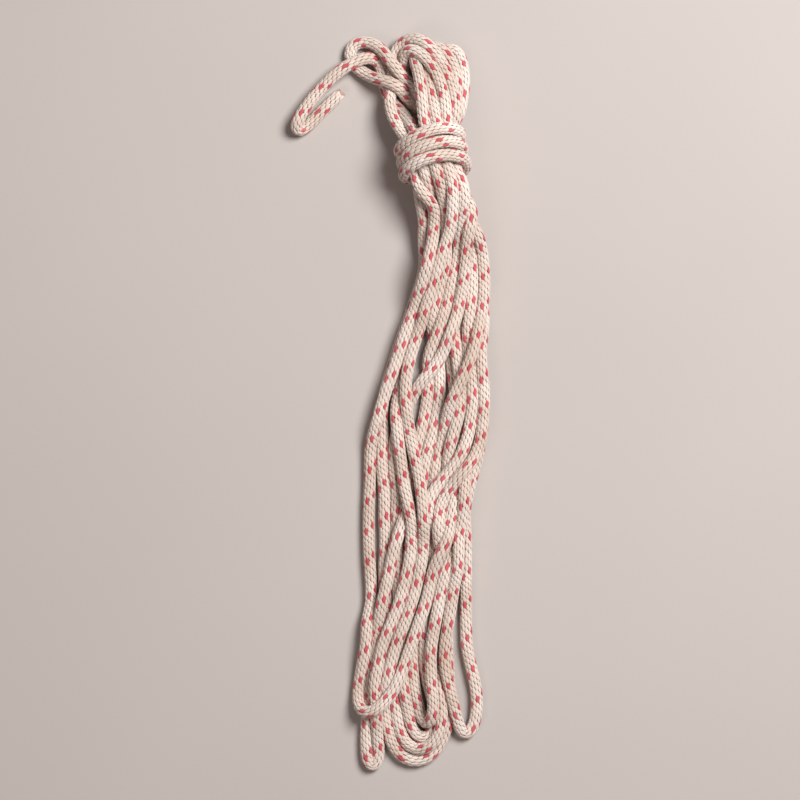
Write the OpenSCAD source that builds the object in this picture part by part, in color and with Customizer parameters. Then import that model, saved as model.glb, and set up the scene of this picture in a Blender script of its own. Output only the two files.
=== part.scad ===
// Braided rope folded into a hank, wrapped three times round its neck.
// Millimetres. X to the right, Y towards the head of the hank, Z up, lying on Z = 0.
// The origin is on the floor under the middle of the folded runs.

/* [Rope] */
// Diameter of the rope
rope_d = 10; // [9:0.5:12]
// Thickness of the braided sheath at the cut end
sheath_wall = 1.4; // [1:0.1:2]
// Length of the straight cut end that shows its layers
end_len = 20; // [12:1:21]
// Air between one core strand and the next
strand_gap = 0.06; // [0.04:0.02:0.2]
// How far the core strands stand back from the sealed face
seal_t = 1.5; // [1:0.5:4]

/* [Hank] */
// Thickness of the folded runs as they lie on the floor
runs_h = 30; // [24:1:36]
// Height of the head loops
head_h = 48; // [40:1:52]
// Height of the bights at the foot
foot_h = 25; // [18:1:30]

/* [Neck] */
// Radius of the bundle of runs inside the wraps
neck_r = 20.5; // [17:0.5:24]
// Length of the bundle that stays round, to both sides of the wraps
neck_len = 60; // [48:2:70]
// Number of wraps round the neck
wraps = 3; // [2:1:4]
// Lean of the neck to the left, in degrees
neck_tilt = 14; // [8:1:20]

/* [Hidden] */

rope_r = rope_d / 2;
gap = 0.2;                     // air between a soft piece and the next
wrap_pitch = rope_d + 0.3;     // spacing of the wraps along the neck
neck_at = [5.5, 198];          // middle of the neck, seen from above
neck_z = neck_r + gap + rope_d;
runs_top = 100;                // where the flat runs end and the throat starts
runs_waist = -66;              // where the outermost run on the right tucks in
runs_foot = -225;              // where the flat runs end and the bights start
slice = 1;                     // thickness of the two faces that the throat joins
head_side = -21.5;             // left side of the head loops, where the side loop leaves
route_d = 10;                  // rope diameter that the routes are drawn for
neck_axis = [-sin(neck_tilt), cos(neck_tilt), 0];
facets = 96;
tube_sides = 10;
$fn = facets;

cream = [0.90, 0.86, 0.80];
shade = [0.82, 0.76, 0.69];
coral = [0.84, 0.30, 0.33];
white = [0.95, 0.94, 0.92];

// Outlines of the flat runs, anticlockwise: between the throat and the waist, and down to the foot.
upper_outline = [
    [-49, runs_waist], [39, runs_waist], [42, -50], [52, -20], [51, 0], [47, 30], [49, 50],
    [52, 80], [52, runs_top], [-12, runs_top], [-26, 50], [-40, 0], [-48, -50]];
lower_outline = [
    [-56, runs_foot], [45, runs_foot], [39, -200], [38, -150], [38, -90], [39, runs_waist],
    [-49, runs_waist], [-51, -100], [-49, -150], [-53, -200]];

// Outlines of the bights, each on the foot face of the runs.
foot_left = [
    [-33.3, runs_foot], [-56, runs_foot], [-58, -238], [-55, -248], [-50, -256], [-51, -280],
    [-49, -292], [-43, -297], [-37, -294], [-35, -284], [-34.3, -262]];
foot_middle = [
    [-33, runs_foot], [-34, -262], [-31, -276], [-24, -287], [-14, -293], [-4, -294],
    [5, -291], [13, -284], [19, -274], [23, -262], [21, -250], [14, runs_foot]];
foot_right = [
    [14.3, runs_foot], [21.3, -250], [23.4, -262], [26, -267], [32, -269.5], [39, -266],
    [45, -256], [48, -241], [45, runs_foot]];

// Outline of the head loops, from the end face of the neck up.
head_outline = [
    neck_face(-7.5), neck_face(30), [33, 242], [36.5, 258], [36, 270], [32, 281], [25, 288],
    [14, 289], [6, 292], [-4, 294.5], [-14, 294.5], [-22, 292], [-26.5, 286],
    [head_side, 277], [head_side, 250], [-16, 240]];

// Centre line of the loop that leaves the head to the left and comes back.
side_route = lay([
    [head_side, 263, 21], [-27, 272, 19.5], [-33, 280, 18], [-40, 286.5, 13], [-48, 289.5, 7],
    [-55, 289, 5], [-60.5, 284.5, 5], [-61.5, 278, 5], [-58.5, 271.5, 5], [-53, 267, 6],
    [-46, 262, 9.5], [-38, 258, 14.5], [-31, 255, 17.5], [head_side, 252, 21]]);

// Centre line of the loose end: out of the neck, up beside the head, over the loop and back.
tail_route = lay([
    [each neck_face(-13), 22], [-21, 232, 15], [-27, 242, 8], [-30.5, 252, 5],
    [-31.5, 262, 5], [-33, 270, 5], [-38, 275.5, 7], [-45, 276, 13], [-52, 274, 16.5],
    [-60, 270.5, 17], [-67, 266, 16.5], [-73, 261, 15], [-81, 253.5, 15], [-90, 243, 15.5],
    [-97, 233.5, 16], [-101, 227, 16], [-103, 223, 14.5], [-102.5, 220, 10.5],
    [-99.5, 220, 6.5], [-95, 222, 5], [-89, 227.5, 5], [-84.5, 231.8, 5]]);

end_axis = unit(tail_route[len(tail_route) - 1] - tail_route[len(tail_route) - 2]);
end_at = tail_route[len(tail_route) - 1];
end_turn = atan2(end_axis[1], end_axis[0]);
bore_r = rope_r - sheath_wall;
strand_d = (bore_r - gap) * 2 / 3 - strand_gap;
ring_r = strand_d + strand_gap;      // circle that the outer core strands lie on

function unit(v) = v / norm(v);

// A point on the end face of the neck, this far to the right of its axis, seen from above.
function neck_face(right) =
    neck_at + neck_len / 2 * [neck_axis[0], neck_axis[1]]
    + right * [neck_axis[1], -neck_axis[0]];

// The heights of a route are for a rope of route_d. They grow with the rope, and faster where it is
// thicker, because the places of the crossings seen from above stay.
function lay(p) =
    let (grow = rope_d / route_d, lift = max(grow, grow * grow))
    [for (q = p) [q[0], q[1], rope_d / 2 + (q[2] - route_d / 2) * lift]];

// Direction of a route at one point: its end faces take the directions they are given.
function along(p, i, first, last) =
    i == 0 ? first :
    i == len(p) - 1 ? last : unit(p[i + 1] - p[i - 1]);

// One ring of the tube, square to the route.
function ring(c, t) =
    let (s = unit(cross(t, [0, 0, 1])), u = cross(s, t))
    [for (k = [0 : tube_sides - 1])
        let (a = (k + 0.5) * 360 / tube_sides)
        c + rope_r * (cos(a) * s + sin(a) * u)];

// A tube swept along a route, closed at both ends.
module tube(p, first, last) {
    n = len(p);
    m = tube_sides;
    points = [for (i = [0 : n - 1]) each ring(p[i], along(p, i, first, last))];
    walls = [for (i = [0 : n - 2], k = [0 : m - 1])
        [i * m + k, i * m + (k + 1) % m, (i + 1) * m + (k + 1) % m, (i + 1) * m + k]];
    start = [for (k = [0 : m - 1]) m - 1 - k];
    finish = [for (k = [0 : m - 1]) (n - 1) * m + k];
    polyhedron(points = points, faces = concat(walls, [start, finish]));
}

// Puts a shape drawn along its own Z onto the axis of the neck.
module on_neck(from = 0)
    translate([neck_at[0], neck_at[1], neck_z])
        rotate([0, 0, neck_tilt])
            rotate([-90, 0, 0])
                translate([0, 0, from])
                    children();

// Puts a shape drawn along its own Z onto the straight cut end.
module on_end(from = 0)
    translate(end_at)
        rotate([0, 90, end_turn])
            translate([0, 0, from])
                children();

module slab(outline, h) linear_extrude(height = h) polygon(outline);

module upper_runs() color(cream) slab(upper_outline, runs_h);

module lower_runs() color(cream) slab(lower_outline, runs_h);

module throat_runs() color(cream)
    hull() {
        on_neck(-neck_len / 2 - slice) cylinder(r = neck_r, h = slice, $fn = 32);
        translate([-12, runs_top, 0]) cube([64, slice, runs_h]);
    }

module neck_runs() color(shade)
    on_neck(-neck_len / 2) cylinder(r = neck_r, h = neck_len);

// The wraps are one coil, so this is its outer shape: a ring with one bulge for each wrap.
module neck_wraps() color(cream)
    on_neck(-(wraps - 1) * wrap_pitch / 2)
        rotate_extrude() {
            translate([neck_r + gap, 0])
                square([rope_r, (wraps - 1) * wrap_pitch]);
            for (i = [0 : wraps - 1])
                translate([neck_r + gap + rope_r, i * wrap_pitch]) circle(r = rope_r, $fn = 48);
        }

module head_loops() color(cream) slab(head_outline, head_h);

module foot_bight_left() color(shade) slab(foot_left, foot_h);

module foot_bights_middle() color(cream) slab(foot_middle, foot_h);

module foot_bight_right() color(cream) slab(foot_right, foot_h);

module side_loop() color(cream) tube(side_route, [-1, 0, 0], [1, 0, 0]);

module tail() color(coral) tube(tail_route, neck_axis, end_axis);

module end_sheath() color(cream)
    on_end()
        difference() {
            cylinder(r = rope_r, h = end_len);
            translate([0, 0, -1]) cylinder(r = bore_r, h = end_len + 2);
        }

// Seven straight strands, one in the middle and six round it.
module core_strands() color(white)
    on_end() {
        cylinder(d = strand_d, h = end_len - seal_t, $fn = 24);
        for (a = [0 : 60 : 300])
            rotate([0, 0, a])
                translate([ring_r, 0, 0]) cylinder(d = strand_d, h = end_len - seal_t, $fn = 24);
    }

module end_seal() color(coral)
    on_end(end_len - seal_t) cylinder(r = bore_r - gap / 2, h = seal_t);

upper_runs();
lower_runs();
throat_runs();
neck_runs();
neck_wraps();
head_loops();
foot_bight_left();
foot_bights_middle();
foot_bight_right();
side_loop();
tail();
end_sheath();
core_strands();
end_seal();
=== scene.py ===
import bpy
import numpy as np
from math import radians, pi
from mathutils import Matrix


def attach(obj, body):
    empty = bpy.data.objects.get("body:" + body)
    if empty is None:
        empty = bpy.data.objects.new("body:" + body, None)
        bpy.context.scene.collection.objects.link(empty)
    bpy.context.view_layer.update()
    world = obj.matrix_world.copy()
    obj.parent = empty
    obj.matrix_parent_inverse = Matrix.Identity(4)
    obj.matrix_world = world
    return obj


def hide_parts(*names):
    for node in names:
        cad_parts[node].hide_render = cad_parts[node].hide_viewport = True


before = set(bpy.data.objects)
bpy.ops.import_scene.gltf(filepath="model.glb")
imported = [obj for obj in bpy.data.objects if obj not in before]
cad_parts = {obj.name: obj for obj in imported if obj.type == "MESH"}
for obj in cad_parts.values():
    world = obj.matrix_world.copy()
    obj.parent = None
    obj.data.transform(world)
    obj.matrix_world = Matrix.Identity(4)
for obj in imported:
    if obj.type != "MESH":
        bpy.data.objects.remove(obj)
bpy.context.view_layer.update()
print("frame loaded")

mm = 0.001

# The camera looks straight down and sees frameWidth at referenceHeight above the floor.
view = dict(lookAt=(-0.020, 0.0016), distance=2.4, frameWidth=0.640, referenceHeight=0.015,
            sensorWidth=36.0, farClip=20.0)


def makeCamera():
    data = bpy.data.cameras.new("overheadCamera")
    camera = bpy.data.objects.new("overheadCamera", data)
    bpy.context.scene.collection.objects.link(camera)
    x, y = view["lookAt"]
    camera.location = (x, y, view["distance"] + view["referenceHeight"])
    data.sensor_width = view["sensorWidth"]
    data.lens = view["sensorWidth"] * view["distance"] / view["frameWidth"]
    data.clip_end = view["farClip"]
    bpy.context.scene.camera = camera


makeCamera()
print("camera set")

# In metres. Points of the route nearer than closestPoints are one point, and settled strands lie
# contact apart.
rope = dict(diameter=0.010, nodeStep=0.005, contact=0.0096, closestPoints=0.0008)

# Where each run lies across the hank, in millimetres to the right, at these places along it, and on
# which layer it lies there, one digit for each place, counted from the floor.
stations = [160, 120, 80, 40, 0, -40, -80, -120, -160, -200]
runs = dict(
    leftEdge=([7, 5, -5, -20, -34, -42, -45, -45, -43, -47], "3222211122"),
    centreTop=([25, 14, 1, -12, -16, -9, -1, -2, -11, -25], "3322333322"),
    centreLeft=([4, 6, -1, -14, -21, -21, -14, -11, -20, -36], "2111122221"),
    secondLeft=([30, 27, 18, 5, 3, -8, -14, -25, -34, -41], "2222111111"),
    crossing=([33, 33, 28, 15, -13, -27, -22, -22, -21, -18], "2223211000"),
    underLeft=([-1, 3, -6, -21, -34, -34, -31, -32, -32, -28], "2100011000"),
    middle=([15, 15, 8, 9, 10, 3, -5, -11, -11, -12], "3111111000"),
    rightEdge=([29, 44, 46, 38, 22, 12, 4, -1, -1, 0], "2113321000"),
    rightTop=([31, 38, 37, 34, 37, 31, 2, 8, 8, 8], "1111222000"),
    rightOuter=([26, 36, 43, 43, 46, 42, 13, 12, 17, 16], "0001222100"),
    rightInner=([10, 10, 9, 20, 29, 26, 25, 12, 1, -13], "0000001233"),
    short=([2, 6, 20, 27, 28, 20, 21, 18, 11, 5], "1000111122"),
    footRight=([18, 22, 28, 32, 34, 35, 29, 26, 21, 16], "1110001221"),
    footOuter=([22, 29, 35, 38, 41, 40, 32, 33, 33, 34], "0000000000"),
)

# Heights of the layers in millimetres. Above climbFrom along the hank, the runs climb to the neck.
pile = dict(floorLayer=5, layer=8.6, climb=8, climbFrom=60, climbLength=100)

# Bights at the foot, from the first run to the second, in millimetres.
bights = dict(
    leftFold=[(-50, -218, 22), (-52, -230, 19), (-53, -241, 17), (-51, -250, 16), (-45, -250, 17),
              (-37, -244, 20), (-30, -236, 23), (-24, -228, 25), (-20, -220, 26), (-16, -210, 27)],
    leftFloor=[(-43, -215, 8), (-45, -230, 5), (-46, -250, 5), (-47, -272, 5), (-46, -288, 5),
               (-42, -296, 5), (-38, -288, 5), (-37, -272, 5), (-37, -250, 5), (-38, -230, 8),
               (-38, -215, 12)],
    outer=[(-28, -212, 14), (-31, -230, 6), (-31, -250, 5), (-29, -268, 5), (-24, -280, 5),
           (-16, -287, 5), (-7, -289, 5), (1, -286, 5), (8, -280, 5), (14, -270, 5), (18, -258, 5),
           (18, -240, 5), (17, -220, 5)],
    second=[(-27, -220, 5), (-25, -240, 8), (-24, -255, 10), (-20, -268, 10), (-13, -277, 10),
            (-4, -280, 10), (4, -277, 10), (10, -269, 10), (13, -258, 10), (13, -240, 8), (10, -220, 5)],
    third=[(-19, -215, 5), (-19, -231, 10), (-16, -246, 13), (-12, -259, 14), (-6, -269, 14),
           (1, -272, 14), (7, -267, 14), (9, -256, 14), (8, -238, 10), (3, -215, 5)],
    inner=[(-12, -215, 9), (-10, -228, 14), (-6, -241, 18), (-4, -252, 19), (-1, -259, 19),
           (4, -260, 19), (8, -253, 19), (8, -243, 17), (6, -228, 15), (5, -216, 14)],
    right=[(17, -216, 8), (19, -231, 6), (21, -242, 5), (25, -255, 5), (29, -265, 5), (33, -270, 5),
           (37, -264, 5), (41, -252, 5), (42, -240, 5), (41, -230, 5), (38, -216, 5)],
)

# Head loops, from the neck up and back, in millimetres.
loops = dict(
    outer=[(-18, 214, 32), (-23, 223, 26), (-27, 235, 20), (-29, 247, 15), (-27, 257, 12),
           (-25, 267, 8), (-25, 276, 8), (-22, 285, 9), (-17, 290, 12), (-10, 291, 15), (-4, 288, 18),
           (2, 283, 22), (7, 277, 25), (13, 268, 28), (18, 259, 31), (21, 249, 34), (23, 239, 37),
           (24, 228, 38)],
    second=[(-12, 222, 16), (-16, 235, 9), (-18, 250, 6), (-18, 262, 6), (-21, 272, 8),
            (-18, 278, 12), (-12, 282, 16), (-6, 281, 20), (0, 277, 24), (5, 271, 27), (10, 262, 30),
            (13, 253, 33), (16, 243, 36), (17, 232, 39), (17, 224, 40)],
    inner=[(-1, 223, 45), (-2, 235, 43), (-3, 246, 40), (-4, 257, 35), (-7, 270, 25), (-9, 279, 17),
           (-5, 286, 12), (1, 285, 10), (3, 279, 13), (0, 270, 20), (2, 258, 29), (4, 249, 34),
           (7, 240, 38), (8, 230, 41), (9, 221, 43)],
    third=[(-2, 222, 12), (-4, 240, 6), (-6, 258, 5), (-5, 272, 5), (-1, 281, 7), (5, 286, 11),
           (13, 283, 14), (18, 278, 16), (22, 271, 18), (25, 262, 20), (26, 252, 22), (25, 240, 26),
           (20, 228, 30)],
    right=[(6, 224, 10), (8, 240, 5), (10, 258, 5), (12, 272, 5), (16, 283, 6), (22, 286, 8),
           (27, 280, 9), (30, 270, 10), (32, 260, 12), (31, 251, 15), (29, 242, 18), (28, 233, 20),
           (27, 226, 21)],
)

# The loop to the left and the loose end, in metres.
sideLoop = [(-0.0215, 0.263, 0.021), (-0.027, 0.272, 0.0195), (-0.033, 0.280, 0.018),
            (-0.040, 0.2865, 0.013), (-0.048, 0.2895, 0.007), (-0.055, 0.289, 0.005),
            (-0.0605, 0.2845, 0.005), (-0.0615, 0.278, 0.005), (-0.0585, 0.2715, 0.005),
            (-0.053, 0.267, 0.006), (-0.046, 0.262, 0.0095), (-0.038, 0.258, 0.0145),
            (-0.031, 0.255, 0.0175), (-0.0215, 0.252, 0.021)]
tail = [(-0.020, 0.232, 0.021), (-0.026, 0.242, 0.012), (-0.0305, 0.252, 0.005), (-0.0315, 0.262, 0.005),
        (-0.033, 0.270, 0.005), (-0.038, 0.2755, 0.007), (-0.045, 0.276, 0.013), (-0.052, 0.274, 0.0165),
        (-0.060, 0.2705, 0.017), (-0.067, 0.266, 0.0165), (-0.073, 0.261, 0.015), (-0.081, 0.2535, 0.015),
        (-0.090, 0.243, 0.0155), (-0.097, 0.2335, 0.016), (-0.1015, 0.226, 0.016), (-0.104, 0.221, 0.0145),
        (-0.104, 0.2165, 0.0105), (-0.1005, 0.217, 0.0065), (-0.095, 0.221, 0.005), (-0.089, 0.2275, 0.005),
        (-0.0845, 0.2318, 0.005), (-0.0665, 0.2492, 0.005)]

# The short stretches that join those, the last run and the wraps to one another, in millimetres.
joins = dict(
    tailToNeck=[(-13, 223, 30)],
    neckToSide=[(1, 224, 20), (-4, 238, 13), (-11, 250, 13)],
    sideToNeck=[(-14, 247, 11), (-7, 239, 8), (0, 225, 11)],
    runToWraps=[(10, 172, 6)],
    wrapsToEnd=[(12, 222, 6), (16, 238, 5), (18, 252, 5), (19, 264, 5)],
)

# The neck and the turns round it, in millimetres and degrees. The strands in it stand in an outer and an
# inner ring. ringLean is for the lowest and the top turn.
neck = dict(centre=(5.5, 196), height=30.5, lean=12, halfLength=14, outerRadius=15.6, innerRadius=6,
            turns=3, stepsPerTurn=14, pitch=10.3, ringRadius=25.5, ringLean=(15, 24), ringTip=17)

# Where a strand passes the neck: degrees round it, from the right over the top, and which ring, 1 for the
# outer one.
slots = dict(tail=(126, 1), outerUp=(162, 1), innerUp=(90, 1), innerDown=(54, 1), secondDown=(18, 1),
             outerDown=(-18, 1), rightDown=(-54, 1), rightUp=(-90, 1), thirdUp=(-126, 1),
             secondUp=(-162, 1), sideUp=(170, 0), sideDown=(290, 0), thirdDown=(50, 0))

# The rope in order, from the loose end to the hidden one: (slot, run, bight, run, slot, loop).
# A minus sign walks the piece backwards.
order = [
    ("tail", "centreLeft", "-leftFloor", "secondLeft", "secondDown", "-second"),
    ("secondUp", "underLeft", "second", "rightTop", "rightDown", "-right"),
    ("rightUp", "rightOuter", "-outer", "centreTop", "innerDown", "-inner"),
    ("innerUp", "middle", "inner", "short", "sideDown", "-side"),
    ("sideUp", "footOuter", "-right", "footRight", "thirdUp", "third"),
    ("thirdDown", "crossing", "third", "rightEdge", "outerDown", "-outer"),
    ("outerUp", "leftEdge", "leftFold", "rightInner", None, None),
]


def strandHeight(layer, y):
    lift = max(0.0, (y - pile["climbFrom"]) / pile["climbLength"]) * pile["climb"]
    return pile["floorLayer"] + pile["layer"] * int(layer) + lift


def runPoints(name):
    places, layers = runs[name]
    return [(x, y, strandHeight(k, y)) for x, y, k in zip(places, stations, layers)]


def neckPoints(name):
    # Three points along the leaned neck, each radius from its middle at the slot's angle.
    angle, ring = slots[name]
    radius = neck["outerRadius"] if ring else neck["innerRadius"]
    lean = radians(neck["lean"])
    points = []
    for along in (neck["halfLength"], 0, -neck["halfLength"]):
        across = radius * np.cos(radians(angle))
        points.append((neck["centre"][0] + across * np.cos(lean) - along * np.sin(lean),
                       neck["centre"][1] + across * np.sin(lean) + along * np.cos(lean),
                       neck["height"] + radius * np.sin(radians(angle))))
    return points


def wrapPoints():
    # Turns round the neck: a helix from under the neck, with its ring leaned and tipped.
    steps = np.linspace(0, neck["turns"], neck["turns"] * neck["stepsPerTurn"] + 1)
    angle = radians(-90) + 2 * pi * steps
    along = (neck["pitch"] * (steps - neck["turns"] / 2)
             + neck["ringRadius"] * np.sin(angle) * np.tan(radians(neck["ringTip"])))
    across = neck["ringRadius"] * np.cos(angle)
    lean = radians(neck["lean"])
    ringLean = np.radians(np.interp(steps, (0, neck["turns"]), neck["ringLean"]))
    x = neck["centre"][0] + across * np.cos(ringLean) - along * np.sin(lean)
    y = neck["centre"][1] + across * np.sin(ringLean) + along * np.cos(lean)
    z = neck["height"] + neck["ringRadius"] * np.sin(angle)
    return list(zip(x, y, z))


def inMillimetres(points):
    return [tuple(np.array(point) / mm) for point in points]


def ropePoints():
    side = joins["neckToSide"] + inMillimetres(sideLoop) + joins["sideToNeck"]
    loopSet = dict(loops, side=side)
    points = inMillimetres(tail)[::-1] + joins["tailToNeck"]

    def walk(table, name):
        chosen = table[name.lstrip("-")]
        return chosen[::-1] if name.startswith("-") else chosen

    for slotDown, runDown, bight, runUp, slotUp, loop in order:
        points += neckPoints(slotDown) + runPoints(runDown)
        points += walk(bights, bight) + runPoints(runUp)[::-1]
        if slotUp:
            points += neckPoints(slotUp)[::-1] + walk(loopSet, loop)
    points += joins["runToWraps"] + wrapPoints() + joins["wrapsToEnd"]
    return np.array(points, float) * mm


def evenPoints(curve, step):
    # Points about a step apart by arc length along a curve of many short straights.
    lengths = np.concatenate([[0], np.cumsum(np.linalg.norm(np.diff(curve, axis=0), axis=1))])
    count = max(2, int(round(lengths[-1] / step)) + 1)
    at = np.linspace(0, lengths[-1], count)
    return np.stack([np.interp(at, lengths, curve[:, k]) for k in range(3)], axis=1)


def splinePoints(points, step, perSpan=24):
    # Centripetal Catmull-Rom: knots stand the square root of each gap apart, and the curve is three rounds
    # of blends between neighbours, a from the points, b from a, and the curve from b.
    gaps = np.linalg.norm(np.diff(points, axis=0), axis=1)
    points = points[np.concatenate([[True], gaps > rope["closestPoints"]])]
    ends = np.vstack([2 * points[0] - points[1], points, 2 * points[-1] - points[-2]])
    knots = np.concatenate([[0], np.cumsum(np.linalg.norm(np.diff(ends, axis=0), axis=1) ** 0.5)])
    p0, p1, p2, p3 = (p[:, None, :] for p in (ends[:-3], ends[1:-2], ends[2:-1], ends[3:]))
    t0, t1, t2, t3 = (knots[i:len(knots) - 3 + i][:, None, None] for i in range(4))
    t = t1 + (t2 - t1) * np.linspace(0, 1, perSpan, endpoint=False)[None, :, None]
    a1 = (t1 - t) / (t1 - t0) * p0 + (t - t0) / (t1 - t0) * p1
    a2 = (t2 - t) / (t2 - t1) * p1 + (t - t1) / (t2 - t1) * p2
    a3 = (t3 - t) / (t3 - t2) * p2 + (t - t2) / (t3 - t2) * p3
    b1 = (t2 - t) / (t2 - t0) * a1 + (t - t0) / (t2 - t0) * a2
    b2 = (t3 - t) / (t3 - t1) * a2 + (t - t1) / (t3 - t1) * a3
    curve = ((t2 - t) / (t2 - t1) * b1 + (t - t1) / (t2 - t1) * b2).reshape(-1, 3)
    return evenPoints(np.vstack([curve, points[-1]]), step)


# In metres and shares per round. Neighbours are looked for after every search rounds, within searchReach
# diameters and at least searchSkip nodes on. What lies past holdFrom is held to its height too.
settle = dict(rounds=420, gravity=0.00005, hold=0.05, holdHeight=0.015, holdFrom=0.165, bend=0.055,
              stretch=0.4, push=0.42, pushes=2, search=40, searchReach=2.2, searchSkip=5)


def settleRope(points):
    # The rope as a chain of nodes: gravity, a floor, strands that push one another a contact apart, bending
    # and stretch that even out, and a hold on each node's place.
    rest = points.copy()
    step = np.linalg.norm(np.diff(points, axis=0), axis=1).mean()
    count = len(points)
    lowest = rope["diameter"] / 2
    holdUp = np.where(rest[:, 1] > settle["holdFrom"], settle["holdHeight"], 0.0)
    index = np.arange(count)
    for turn in range(settle["rounds"]):
        if turn % settle["search"] == 0:
            square = (points ** 2).sum(1)
            reach = (settle["searchReach"] * rope["diameter"]) ** 2
            near = square[:, None] + square[None, :] - 2 * points @ points.T < reach
            first, second = np.nonzero(np.triu(near, settle["searchSkip"]))
        points[:, 2] -= settle["gravity"]
        points[:, :2] += settle["hold"] * (rest[:, :2] - points[:, :2])
        points[:, 2] += holdUp * (rest[:, 2] - points[:, 2])
        fourth = points[:-4] - 4 * points[1:-3] + 6 * points[2:-2] - 4 * points[3:-1] + points[4:]
        points[2:-2] -= settle["bend"] * fourth
        for parity in (0, 1):
            a, b = index[parity:-1:2], index[parity + 1::2]
            link = points[b] - points[a]
            size = np.linalg.norm(link, axis=1, keepdims=True)
            shift = settle["stretch"] * 0.5 * (size - step) / size * link
            points[a] += shift
            points[b] -= shift
        for _ in range(settle["pushes"]):
            link = points[second] - points[first]
            size = np.maximum(np.linalg.norm(link, axis=1), 1e-6)
            close = size < rope["contact"]
            a, b = first[close], second[close]
            share = settle["push"] * (rope["contact"] - size[close]) / size[close]
            shift = share[:, None] * link[close]
            for k in range(3):
                points[:, k] += np.bincount(b, shift[:, k], count) - np.bincount(a, shift[:, k], count)
            points[:, 2] = np.maximum(points[:, 2], lowest)
    return points


def smoothNodes(points, rounds=3):
    # Each node moves halfway to the middle of its two neighbours.
    for turn in range(rounds):
        points[1:-1] += 0.25 * (points[:-2] + points[2:] - 2 * points[1:-1])
    return points


nodes = splinePoints(ropePoints(), rope["nodeStep"])
print("route of", len(nodes), "nodes")
nodes = settleRope(nodes)[::-1]      # from the hidden end to the loose one
print("rope settled")

# A solid braid: on each rib the floats follow one another, and a yarn comes up every second rib. In
# metres, radians and, for lean, degrees. Phases are shares of half a turn, section is one yarn's outline as
# shares of its width and thickness, and sway, diveCurve and taper are explained where the yarn is made.
braid = dict(yarns=10, ribStep=2, pitch=0.025, reach=0.0018, sway=(0.451, 0.079), lean=-11, crest=0.00450,
             dive=0.0005, diveCurve=1.5, width=0.0034, tipWidth=0.0007, taper=0.75, thickness=0.00095,
             phases=(-0.48, -0.30, -0.14, 0.0, 0.14, 0.30, 0.48), lineStep=0.00105, linePerSpan=12,
             section=[(0.5, -0.24), (0.37, 0.20), (0.14, 0.46), (-0.14, 0.46), (-0.37, 0.20), (-0.5, -0.24)],
             coreRadius=0.0037, coreSides=10, bakeStrips=64)
tracerFloat = dict(reach=0.0028, width=0.0031, crest=0.00462)      # its floats are longer, slimmer, prouder

# Slow unevenness, as (size, length of one wave along the rope): twist in radians, creep in metres along
# the rope, girth as a share of a yarn's width. Creep fades out over creepFade before a cut end.
uneven = dict(twist=[(0.40, 0.310), (0.22, 0.117)], creep=[(0.0010, 0.083), (0.0006, 0.051)],
              girth=[(0.05, 0.037)], girthShift=0.004, startPerMetre=50, creepFade=0.03)

line = splinePoints(smoothNodes(nodes), braid["lineStep"], braid["linePerSpan"])
ropeLength = float(np.linalg.norm(np.diff(line, axis=0), axis=1).sum())
print("rope length", round(ropeLength, 3))


def carriedFrames(points):
    # Tangents, and a normal carried along the rope so that it never twists.
    tangents = np.gradient(points, axis=0)
    tangents /= np.linalg.norm(tangents, axis=1, keepdims=True)
    normals = np.empty_like(points)
    normal = np.cross(tangents[0], (0.0, 0.0, 1.0))
    for i, tangent in enumerate(tangents):
        normal = normal - normal.dot(tangent) * tangent
        normal /= np.sqrt(normal.dot(normal))
        normals[i] = normal
    return tangents, normals, np.cross(tangents, normals)


tangents, normals, sides = carriedFrames(line)
along = np.linspace(0, ropeLength, len(line))

# The second map of a piece: shares of one strip that the wall fills, and where the end faces go.
bakeFold = dict(sideMargin=0.05, sideShare=0.9, endMargin=0.01, lengthShare=0.98, endFaces=0.001)


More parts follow.
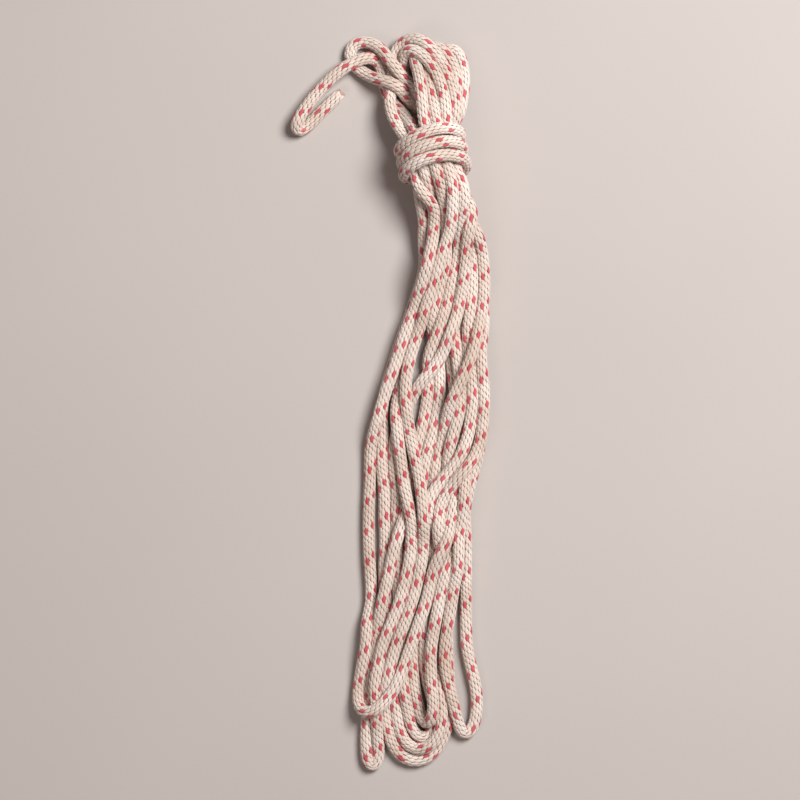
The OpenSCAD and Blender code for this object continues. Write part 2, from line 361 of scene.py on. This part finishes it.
def tubeMesh(name, rings, strips=1, lengths=None):
    # rings is a grid of points, ring by ring; neighbours are joined and both ends closed.
    count, around = rings.shape[:2]
    i, j = np.meshgrid(np.arange(count - 1), np.arange(around), indexing="ij")
    a, b = i * around + j, i * around + (j + 1) % around
    walls = np.stack([a, b, b + around, a + around], axis=-1).reshape(-1, 4)
    firstEnd = np.arange(around)[::-1]
    lastEnd = (count - 1) * around + np.arange(around)
    corners = np.concatenate([walls.ravel(), firstEnd, lastEnd])
    faceSizes = np.concatenate([np.full(len(walls), 4), [around, around]])
    starts = np.concatenate([[0], np.cumsum(faceSizes)[:-1]])
    mesh = bpy.data.meshes.new(name)
    mesh.vertices.add(count * around)
    mesh.vertices.foreach_set("co", rings.reshape(-1).astype(np.float32))
    mesh.loops.add(len(corners))
    mesh.loops.foreach_set("vertex_index", corners.astype(np.int32))
    mesh.polygons.add(len(faceSizes))
    mesh.polygons.foreach_set("loop_start", starts.astype(np.int32))
    mesh.polygons.foreach_set("use_smooth", np.ones(len(faceSizes), bool))
    mesh.update(calc_edges=True)
    # One map for the weave, round and along the yarn, and one folded into strips for baking.
    ringOf = np.stack([i, i, i + 1, i + 1], axis=-1).reshape(-1)
    sideOf = np.stack([j, j + 1, j + 1, j], axis=-1).reshape(-1)
    lengths = np.arange(count) if lengths is None else lengths
    weave = np.zeros((len(corners), 2), np.float32)
    weave[:len(ringOf), 0] = sideOf / around
    weave[:len(ringOf), 1] = lengths[ringOf]
    perStrip = int(np.ceil((count - 1) / strips))
    strip = np.repeat((i // perStrip).reshape(-1), 4)
    fold = np.zeros((len(corners), 2), np.float32)
    onStrip = (ringOf - strip * perStrip) / perStrip
    acrossStrip = bakeFold["sideShare"] * sideOf / around
    fold[:len(ringOf), 0] = (strip + bakeFold["sideMargin"] + acrossStrip) / strips
    fold[:len(ringOf), 1] = onStrip * bakeFold["lengthShare"] + bakeFold["endMargin"]
    fold[len(ringOf):] = bakeFold["endFaces"]
    for layer, values in (("weave", weave), ("OFBake", fold)):
        mesh.uv_layers.new(name=layer).data.foreach_set("uv", values.ravel())
    mesh.validate()
    piece = bpy.data.objects.new(name, mesh)
    bpy.context.scene.collection.objects.link(piece)
    return piece


def waves(kind, place):
    # Sum of size x sin(2 pi place / length + start) over the waves of one kind.
    return sum(size * np.sin(2 * pi * place / length + length * uneven["startPerMetre"])
               for size, length in uneven[kind])


def alongLine(values, place):
    return np.stack([np.interp(place, along, values[:, k]) for k in range(3)], axis=1)


def yarnRings(number):
    # One yarn, as rings at the phases u of each float. Place along the rope = the rib's start + a float
    # length per turn of u + reach sin u. Angle round it = the rib's + a step per turn of u - sway sin u
    # + sway sin 2u, so that a float runs nearly straight and the yarn changes ribs underneath.
    # With x from 0 on the crest to 1 at the tips, distance from the axis = crest - dive x^diveCurve and
    # width = full - (full - tip) x^taper.
    shape = dict(braid, **tracerFloat) if number == 0 else braid
    rib, follower = number % braid["ribStep"], number // braid["ribStep"]
    perTurn = braid["yarns"] // braid["ribStep"]
    floatLength = braid["pitch"] / perTurn
    start = (rib / braid["yarns"] + follower / perTurn) * braid["pitch"]
    margin = floatLength / 2 + shape["reach"]
    firstFloat = np.ceil((margin - start) / floatLength)
    lastFloat = np.floor((ropeLength - margin - start) / floatLength)
    floats = np.arange(firstFloat, lastFloat + 1)
    u = (pi * np.array(braid["phases"])[None, :] + 2 * pi * floats[:, None]).ravel()
    place = start + floatLength * u / (2 * pi) + shape["reach"] * np.sin(u)
    ease = np.clip(np.minimum(place, ropeLength - place) / uneven["creepFade"], 0, 1)
    place = place + waves("creep", place) * ease
    angle = (2 * pi * rib / braid["yarns"] + u / perTurn + waves("twist", place)
             - shape["sway"][0] * np.sin(u) + shape["sway"][1] * np.sin(2 * u))
    x = (1 - np.cos(u)) / (1 - np.cos(pi * braid["phases"][-1]))
    radius = shape["crest"] - shape["dive"] * x ** braid["diveCurve"]
    width = shape["width"] - (shape["width"] - shape["tipWidth"]) * x ** braid["taper"]
    width = width * (1 + waves("girth", place + uneven["girthShift"] * number))
    centre, tangent, normal, side = (alongLine(values, place) for values in (line, tangents, normals, sides))
    outward = np.cos(angle)[:, None] * normal + np.sin(angle)[:, None] * side
    around = -np.sin(angle)[:, None] * normal + np.cos(angle)[:, None] * side
    lean = radians(shape["lean"])
    across = np.cos(lean) * around - np.sin(lean) * tangent
    section = np.array(braid["section"])
    centre = centre + radius[:, None] * outward
    rings = (centre[:, None, :] + (width[:, None] * section[:, 0])[:, :, None] * across[:, None, :]
             + shape["thickness"] * section[:, 1][None, :, None] * outward[:, None, :])
    return rings, place


def coreRings():
    # A round tube on every second point of the line.
    angle = 2 * pi * np.arange(braid["coreSides"]) / braid["coreSides"]
    ring = (np.cos(angle)[None, :, None] * normals[:, None, :]
            + np.sin(angle)[None, :, None] * sides[:, None, :])
    return (line[:, None, :] + braid["coreRadius"] * ring)[::2]


# Each lobe is (lumps round the seal, their turn, how far they wind on towards the tip).
seal = dict(radius=0.0042, depth=0.006, proud=-0.0006, tip=0.995, rings=14, sides=28, lump=0.05,
            lobes=[(3, 1.0, 0.0), (5, 0.0, 6.0)])


def sealRings(end, sign):
    # A melted end: a blunt dome, radius = full (1 - t^4)^0.5 with slow lumps, t from inside to the tip.
    t = np.linspace(0, seal["tip"], seal["rings"])
    angle = 2 * pi * np.arange(seal["sides"]) / seal["sides"]
    radius = seal["radius"] * np.sqrt(1 - t ** 4)
    lobes = sum(np.sin(count * angle + turn + wind * t[:, None]) for count, turn, wind in seal["lobes"])
    lumps = 1 + seal["lump"] * lobes * t[:, None]
    ring = (np.cos(angle)[:, None] * normals[end] + sign * np.sin(angle)[:, None] * sides[end])
    height = sign * (seal["proud"] - seal["depth"] * (1 - t))
    middle = line[end] + height[:, None, None] * tangents[end]
    return middle + (radius[:, None] * lumps)[:, :, None] * ring[None, :, :]


class Wire:
    # A shader socket that arithmetic works on: each operation adds its Math node.
    def __init__(self, shader, socket):
        self.shader = shader
        self.socket = socket

    def maths(self, operation, other=0.0):
        return self.shader.node("ShaderNodeMath", dict(operation=operation), {0: self, 1: other})

    def __add__(self, other):
        return self.maths("ADD", other)

    def __sub__(self, other):
        return self.maths("SUBTRACT", other)

    def __mul__(self, other):
        return self.maths("MULTIPLY", other)

    def __rsub__(self, other):
        return (self * -1) + other

    __radd__, __rmul__ = __add__, __mul__


class Shader:
    # A material whose nodes are made by one method and wired to its Principled shader.
    def __init__(self, name):
        self.material = bpy.data.materials.new(name)
        self.material.use_nodes = True
        self.tree = self.material.node_tree
        self.surface = self.tree.nodes["Principled BSDF"]

    def node(self, kind, settings=None, inputs=None, output=0):
        made = self.tree.nodes.new(kind)
        for key, value in (settings or {}).items():
            if key == "stops":
                ramp = made.color_ramp.elements
                while len(ramp) < len(value):
                    ramp.new(0.5)
                for element, (place, colour) in zip(ramp, value):
                    element.position = place
                    element.color = (*colour, 1)
            else:
                setattr(made, key, value)
        for key, value in (inputs or {}).items():
            self.feed(made.inputs[key], value)
        return Wire(self, made.outputs[output])

    def feed(self, socket, value):
        if isinstance(value, Wire):
            self.tree.links.new(value.socket, socket)
        elif isinstance(value, tuple) and len(value) == 3 and socket.type == "RGBA":
            socket.default_value = (*value, 1)
        else:
            socket.default_value = value

    def objectPlace(self):
        return self.node("ShaderNodeTexCoord", output=3)

    def clamp(self, value):
        return self.node("ShaderNodeClamp", None, {0: value})

    def mix(self, factor, first, second):
        return self.node("ShaderNodeMix", dict(data_type="RGBA"), {0: factor, 6: first, 7: second}, 2)

    def noise(self, place, scale, detail=3.0, roughness=0.55):
        return self.node("ShaderNodeTexNoise", None,
                         {"Vector": place, "Scale": scale, "Detail": detail, "Roughness": roughness})

    def bump(self, height, strength, distance):
        return self.node("ShaderNodeBump", None,
                         {"Strength": strength, "Distance": distance, "Height": height})

    def principled(self, **inputs):
        for key, value in inputs.items():
            self.feed(self.surface.inputs[key.replace("_", " ")], value)


# The last colour of each look is painted shade for the grooves between filaments, and also the colour of the
# random dark grit.
yarnLook = dict(light=(0.87, 0.792, 0.748), dark=(0.60, 0.475, 0.40), stain=(0.56, 0.39, 0.27),
                grooveShadeAndGrit=(0.27, 0.16, 0.12))
# The core's colours are painted shade: the core shows only between the floats, and it is dark brown for the
# shadow there.
paintedShadeCoreLook = dict(light=(0.48, 0.34, 0.28), dark=(0.34, 0.22, 0.17), stain=(0.32, 0.20, 0.13),
                 grooveShadeAndGrit=(0.16, 0.08, 0.06))
tracerLook = dict(light=(0.68, 0.14, 0.165), dark=(0.50, 0.055, 0.075), stain=(0.60, 0.18, 0.18),
                  grooveShadeAndGrit=(0.24, 0.012, 0.02))

# What all yarns share. Filaments are in radians, per turn round a yarn and per metre along it. Gain and
# shift turn a noise into a mask: the light tone rises with its noise, and the dark grit falls with its own.
# The share between filaments is painted shade in the grooves between them.
fibre = dict(filamentsRound=62.8, filamentsAlong=2200, patchScale=40.0, lengthScale=9.0, toneGain=3.6,
             toneShift=1.25, gritScale=950.0, gritGain=3.0, gritShift=1.5, gritShare=0.48,
             stainScale=16.0, stainStops=(0.56, 0.74), stainShare=0.35, grooveShadeShare=0.20, filamentGrit=0.3,
             filamentHeight=0.6, gritHeight=0.8, bump=0.35, bumpHeight=0.00025, roughness=0.86, sheen=0.35,
             sheenRoughness=0.5, specular=0.25)


def yarnMaterial(name, look):
    # Dark to light by tone, then stains, then painted shade in the grooves between the filaments, then dark
    # grit in that same colour.
    shader = Shader(name)
    place = shader.objectPlace()
    weave = shader.node("ShaderNodeUVMap", dict(uv_map="weave"))
    acrossYarn = shader.node("ShaderNodeSeparateXYZ", None, {0: weave})
    alongYarn = Wire(shader, acrossYarn.socket.node.outputs[1])
    filaments = (acrossYarn * fibre["filamentsRound"] + alongYarn * fibre["filamentsAlong"]).maths("SINE")
    filaments = filaments * 0.5 + 0.5      # from -1..1 to 0..1
    lengthwise = shader.node("ShaderNodeCombineXYZ", None, {0: alongYarn})
    tone = (shader.noise(place, fibre["patchScale"], 4.0) * 0.5
            + shader.noise(lengthwise, fibre["lengthScale"], 3.0) * 0.5)
    grit = shader.noise(place, fibre["gritScale"], 2.0)
    stainFrom, stainTo = fibre["stainStops"]
    stain = shader.node("ShaderNodeValToRGB", dict(stops=[(stainFrom, (0, 0, 0)), (stainTo, (1, 1, 1))]),
                        {0: shader.noise(place, fibre["stainScale"], 4.0)})
    toneMask = shader.clamp(tone * fibre["toneGain"] - fibre["toneShift"])
    # Painted shade in the grooves between filaments, patchy with the grit.
    grooveShadeMask = (1 - filaments) * fibre["grooveShadeShare"] * (grit + fibre["filamentGrit"])
    gritMask = shader.clamp(fibre["gritShift"] - grit * fibre["gritGain"]) * fibre["gritShare"]
    shade = shader.mix(toneMask, look["dark"], look["light"])
    shade = shader.mix(stain * fibre["stainShare"], shade, look["stain"])
    # Painted shade into the filament grooves, then the dark grit in the same colour.
    shade = shader.mix(grooveShadeMask, shade, look["grooveShadeAndGrit"])
    shade = shader.mix(gritMask, shade, look["grooveShadeAndGrit"])
    height = filaments * fibre["filamentHeight"] + grit * fibre["gritHeight"]
    shader.principled(Base_Color=shade, Roughness=fibre["roughness"], Sheen_Weight=fibre["sheen"],
                      Sheen_Roughness=fibre["sheenRoughness"], Specular_IOR_Level=fibre["specular"],
                      Normal=shader.bump(height, fibre["bump"], fibre["bumpHeight"]))
    return shader.material


sealLook = dict(light=(0.84, 0.72, 0.67), dark=(0.68, 0.49, 0.44), cloudScale=260.0, bump=0.4,
                bumpHeight=0.0004, roughness=0.42)


def sealMaterial():
    shader = Shader("meltedEnd")
    cloud = shader.noise(shader.objectPlace(), sealLook["cloudScale"])
    shader.principled(Base_Color=shader.mix(cloud, sealLook["dark"], sealLook["light"]),
                      Roughness=sealLook["roughness"],
                      Normal=shader.bump(cloud, sealLook["bump"], sealLook["bumpHeight"]))
    return shader.material


ecru = yarnMaterial("ecruYarn", yarnLook)
coral = yarnMaterial("coralTracer", tracerLook)
# The core's material is painted shade, darker than the sheath so that the gaps between floats look shadowed.
inner = yarnMaterial("coreInPaintedShade", paintedShadeCoreLook)
melted = sealMaterial()

core = tubeMesh("ropeCore", coreRings(), braid["bakeStrips"], along[::2])
core.data.materials.append(inner)
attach(core, "root")
for number in range(braid["yarns"]):
    tracer = number == 0
    name = "tracerYarn" if tracer else "sheathYarn%02d" % number
    rings, place = yarnRings(number)
    piece = tubeMesh(name, rings, braid["bakeStrips"], place)
    piece.data.materials.append(coral if tracer else ecru)
    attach(piece, "root")

for name, end, sign in (("hiddenEndSeal", 0, -1), ("looseEndSeal", -1, 1)):
    piece = tubeMesh(name, sealRings(end, sign))
    piece.data.materials.append(melted)
    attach(piece, "root")
print("ends sealed")

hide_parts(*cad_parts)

floorLook = dict(reach=3.0, dark=(0.46, 0.43, 0.42), light=(0.50, 0.475, 0.465), cloudScale=3.0,
                 roughness=0.9)


def floorMaterial():
    shader = Shader("paleFloor")
    cloud = shader.noise(shader.objectPlace(), floorLook["cloudScale"], 2.0)
    shader.principled(Base_Color=shader.mix(cloud, floorLook["dark"], floorLook["light"]),
                      Roughness=floorLook["roughness"])
    return shader.material


def makeFloor():
    mesh = bpy.data.meshes.new("floor")
    reach = floorLook["reach"]
    corners = [(-reach, -reach, 0), (reach, -reach, 0), (reach, reach, 0), (-reach, reach, 0)]
    mesh.from_pydata(corners, [], [(0, 1, 2, 3)])
    floor = bpy.data.objects.new("floor", mesh)
    bpy.context.scene.collection.objects.link(floor)
    mesh.materials.append(floorMaterial())


# Round soft lamps as (place, width, power, colour), aimed at the middle of the floor, and the room's light.
studio = dict(key=((1.0, 0.85, 1.9), 1.1, 73.0, (1.0, 0.96, 0.92)),
              fill=((-0.9, -0.9, 1.9), 1.2, 9.0, (1.0, 0.84, 0.77)),
              room=(1.0, 0.82, 0.76), roomStrength=0.10)


def makeLight(name, place, size, power, colour):
    data = bpy.data.lights.new(name, "AREA")
    data.shape = "DISK"
    data.size = size
    data.energy = power
    data.color = colour
    lamp = bpy.data.objects.new(name, data)
    bpy.context.scene.collection.objects.link(lamp)
    lamp.location = place
    aim = -np.array(place)
    lamp.rotation_euler = (np.arctan2(np.hypot(aim[0], aim[1]), -aim[2]), 0,
                           np.arctan2(aim[1], aim[0]) - pi / 2)


def makeRoomLight():
    world = bpy.data.worlds.new("studio")
    bpy.context.scene.world = world
    world.use_nodes = True
    background = world.node_tree.nodes["Background"]
    background.inputs["Color"].default_value = (*studio["room"], 1)
    background.inputs["Strength"].default_value = studio["roomStrength"]


makeFloor()
makeLight("keyLight", *studio["key"])
makeLight("fillLight", *studio["fill"])
makeRoomLight()
bpy.context.scene.view_settings.view_transform = "Standard"
print("floor and lights made")
